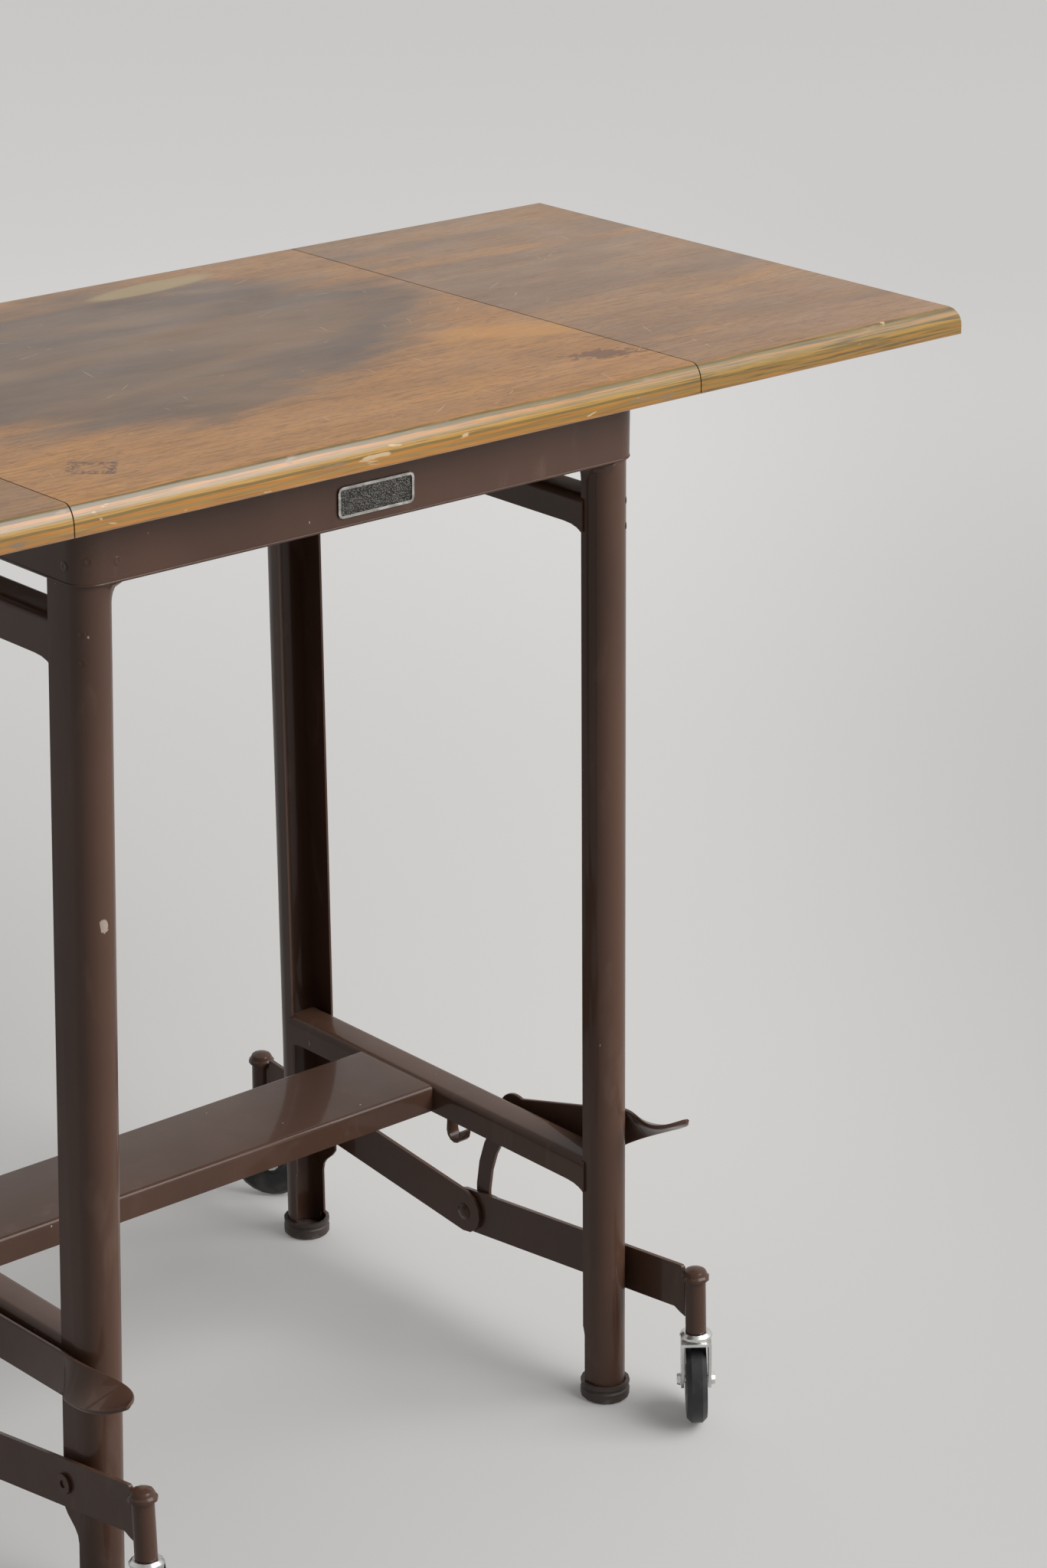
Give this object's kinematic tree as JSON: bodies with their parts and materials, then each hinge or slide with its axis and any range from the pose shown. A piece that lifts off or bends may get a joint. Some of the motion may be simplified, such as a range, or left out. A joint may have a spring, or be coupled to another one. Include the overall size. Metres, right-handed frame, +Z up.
{
  "type": "typewriter table",
  "caption": "Typewriter table with a plywood top, drop leaves on slotted stays, a splayed sheet-steel frame, a low shelf and casters that foot levers push down to the floor.",
  "frame": {"origin": "on the floor under the middle of the top", "axes": "+X along the length of the top, -Y towards the nameplate at the front, +Z up"},
  "size_m": [0.8638, 0.4832, 0.665],
  "materials": {
    "veneer": "varnished plywood veneer",
    "brown_paint": "glossy dark brown enamel",
    "foot_plastic": "dark brown moulded foot",
    "zinc": "bright zinc plate",
    "rubber": "black rubber",
    "plate_metal": "stamped plate, left blank"
  },
  "bodies": {
    "frame": {"centre_board": "veneer", "apron": "brown_paint", "nameplate": "plate_metal", "shelf": "brown_paint", "front_left_leg": "brown_paint", "front_left_foot": "foot_plastic", "front_left_arm_rivet": "brown_paint", "back_left_leg": "brown_paint", "back_left_foot": "foot_plastic", "back_left_arm_rivet": "brown_paint", "front_right_leg": "brown_paint", "front_right_foot": "foot_plastic", "front_right_arm_rivet": "brown_paint", "back_right_leg": "brown_paint", "back_right_foot": "foot_plastic", "back_right_arm_rivet": "brown_paint", "left_top_rail": "brown_paint", "left_stretcher": "brown_paint", "left_lever_rivet": "brown_paint", "left_spring_hook": "brown_paint", "left_board_hinge_plate": "zinc", "left_stay_bracket": "brown_paint", "right_top_rail": "brown_paint", "right_stretcher": "brown_paint", "right_lever_rivet": "brown_paint", "right_spring_hook": "brown_paint", "right_board_hinge_plate": "zinc", "right_stay_bracket": "brown_paint"},
    "left_leaf_body": {"left_leaf": "veneer", "left_leaf_hinge_plate": "zinc", "left_leaf_lug": "brown_paint"},
    "left_stay_body": {"left_leaf_stay": "brown_paint"},
    "left_lever_body": {"left_foot_lever": "brown_paint", "left_lift_strap": "brown_paint"},
    "right_leaf_body": {"right_leaf": "veneer", "right_leaf_hinge_plate": "zinc", "right_leaf_lug": "brown_paint"},
    "right_stay_body": {"right_leaf_stay": "brown_paint"},
    "right_lever_body": {"right_foot_lever": "brown_paint", "right_lift_strap": "brown_paint"},
    "front_left_arm_body": {"front_left_caster_arm": "brown_paint", "front_left_caster_cap": "brown_paint"},
    "front_left_fork_body": {"front_left_caster_fork": "zinc", "front_left_caster_axle": "zinc"},
    "front_left_wheel_body": {"front_left_caster_wheel": "rubber"},
    "back_left_arm_body": {"back_left_caster_arm": "brown_paint", "back_left_caster_cap": "brown_paint"},
    "back_left_fork_body": {"back_left_caster_fork": "zinc", "back_left_caster_axle": "zinc"},
    "back_left_wheel_body": {"back_left_caster_wheel": "rubber"},
    "front_right_arm_body": {"front_right_caster_arm": "brown_paint", "front_right_caster_cap": "brown_paint"},
    "front_right_fork_body": {"front_right_caster_fork": "zinc", "front_right_caster_axle": "zinc"},
    "front_right_wheel_body": {"front_right_caster_wheel": "rubber"},
    "back_right_arm_body": {"back_right_caster_arm": "brown_paint", "back_right_caster_cap": "brown_paint"},
    "back_right_fork_body": {"back_right_caster_fork": "zinc", "back_right_caster_axle": "zinc"},
    "back_right_wheel_body": {"back_right_caster_wheel": "rubber"}
  },
  "joints": [
    {"name": "left_leaf_drop", "type": "hinge", "parent": "frame", "child": "left_leaf_body", "pos_m": [-0.2169, 0, 0.6453], "axis": [0, -1, 0], "range_deg": [0, 90]},
    {"name": "left_stay_turn", "type": "hinge", "parent": "left_leaf_body", "child": "left_stay_body", "pos_m": [-0.26571, 0, 0.6358], "axis": [0, -1, 0], "range_deg": [-45, 0]},
    {"name": "right_leaf_drop", "type": "hinge", "parent": "frame", "child": "right_leaf_body", "pos_m": [0.2169, 0, 0.6453], "axis": [0, 1, 0], "range_deg": [0, 90]},
    {"name": "right_stay_turn", "type": "hinge", "parent": "right_leaf_body", "child": "right_stay_body", "pos_m": [0.26571, 0, 0.6358], "axis": [0, 1, 0], "range_deg": [-45, 0]},
    {"name": "left_lever_press", "type": "hinge", "parent": "frame", "child": "left_lever_body", "pos_m": [-0.18952, -0.048, 0.14997], "axis": [0.9998, 0, -0.0186], "range_deg": [0, 16.5]},
    {"name": "front_left_arm_swing", "type": "hinge", "parent": "frame", "child": "front_left_arm_body", "pos_m": [-0.19076, -0.1396, 0.08299], "axis": [0.9998, 0, -0.0186], "range_deg": [0, 7]},
    {"name": "back_left_arm_swing", "type": "hinge", "parent": "frame", "child": "back_left_arm_body", "pos_m": [-0.19076, 0.1396, 0.08299], "axis": [0.9998, 0, -0.0186], "range_deg": [-7, 0]},
    {"name": "right_lever_press", "type": "hinge", "parent": "frame", "child": "right_lever_body", "pos_m": [0.18952, -0.048, 0.14997], "axis": [0.9998, 0, 0.0186], "range_deg": [0, 16.5]},
    {"name": "front_right_arm_swing", "type": "hinge", "parent": "frame", "child": "front_right_arm_body", "pos_m": [0.19076, -0.1396, 0.08299], "axis": [0.9998, 0, 0.0186], "range_deg": [0, 7]},
    {"name": "back_right_arm_swing", "type": "hinge", "parent": "frame", "child": "back_right_arm_body", "pos_m": [0.19076, 0.1396, 0.08299], "axis": [0.9998, 0, 0.0186], "range_deg": [-7, 0]},
    {"name": "front_left_caster_swivel", "type": "hinge", "parent": "front_left_arm_body", "child": "front_left_fork_body", "pos_m": [-0.20797, -0.21368, 0.06893], "axis": [0.0185, 0.0785, 0.9967], "continuous": true},
    {"name": "front_left_wheel_spin", "type": "hinge", "parent": "front_left_fork_body", "child": "front_left_wheel_body", "pos_m": [-0.20337, -0.22116, 0.03233], "axis": [0.6548, 0.7524, -0.0714], "continuous": true},
    {"name": "back_left_caster_swivel", "type": "hinge", "parent": "back_left_arm_body", "child": "back_left_fork_body", "pos_m": [-0.20507, 0.21368, 0.06888], "axis": [0.0185, -0.0785, 0.9967], "continuous": true},
    {"name": "back_left_wheel_spin", "type": "hinge", "parent": "back_left_fork_body", "child": "back_left_wheel_body", "pos_m": [-0.20047, 0.22116, 0.03228], "axis": [-0.6548, 0.7524, 0.0714], "continuous": true},
    {"name": "front_right_caster_swivel", "type": "hinge", "parent": "front_right_arm_body", "child": "front_right_fork_body", "pos_m": [0.20805, -0.21279, 0.06495], "axis": [-0.0185, 0.0244, 0.9995], "continuous": true},
    {"name": "front_right_wheel_spin", "type": "hinge", "parent": "front_right_fork_body", "child": "front_right_wheel_body", "pos_m": [0.21333, -0.20841, 0.02794], "axis": [-0.7543, 0.6559, -0.03], "continuous": true},
    {"name": "back_right_caster_swivel", "type": "hinge", "parent": "back_right_arm_body", "child": "back_right_fork_body", "pos_m": [0.20515, 0.21279, 0.06489], "axis": [-0.0185, -0.0244, 0.9995], "continuous": true},
    {"name": "back_right_wheel_spin", "type": "hinge", "parent": "back_right_fork_body", "child": "back_right_wheel_body", "pos_m": [0.21043, 0.20841, 0.02788], "axis": [0.7543, 0.6559, 0.03], "continuous": true}
  ],
  "couplings": [
    {"joint": "left_stay_turn", "follows": "left_leaf_drop", "ratio": -0.5},
    {"joint": "right_stay_turn", "follows": "right_leaf_drop", "ratio": -0.5},
    {"joint": "front_left_arm_swing", "follows": "left_lever_press", "ratio": 0.42423},
    {"joint": "back_left_arm_swing", "follows": "left_lever_press", "ratio": -0.42423},
    {"joint": "front_right_arm_swing", "follows": "right_lever_press", "ratio": 0.42423},
    {"joint": "back_right_arm_swing", "follows": "right_lever_press", "ratio": -0.42423}
  ]
}
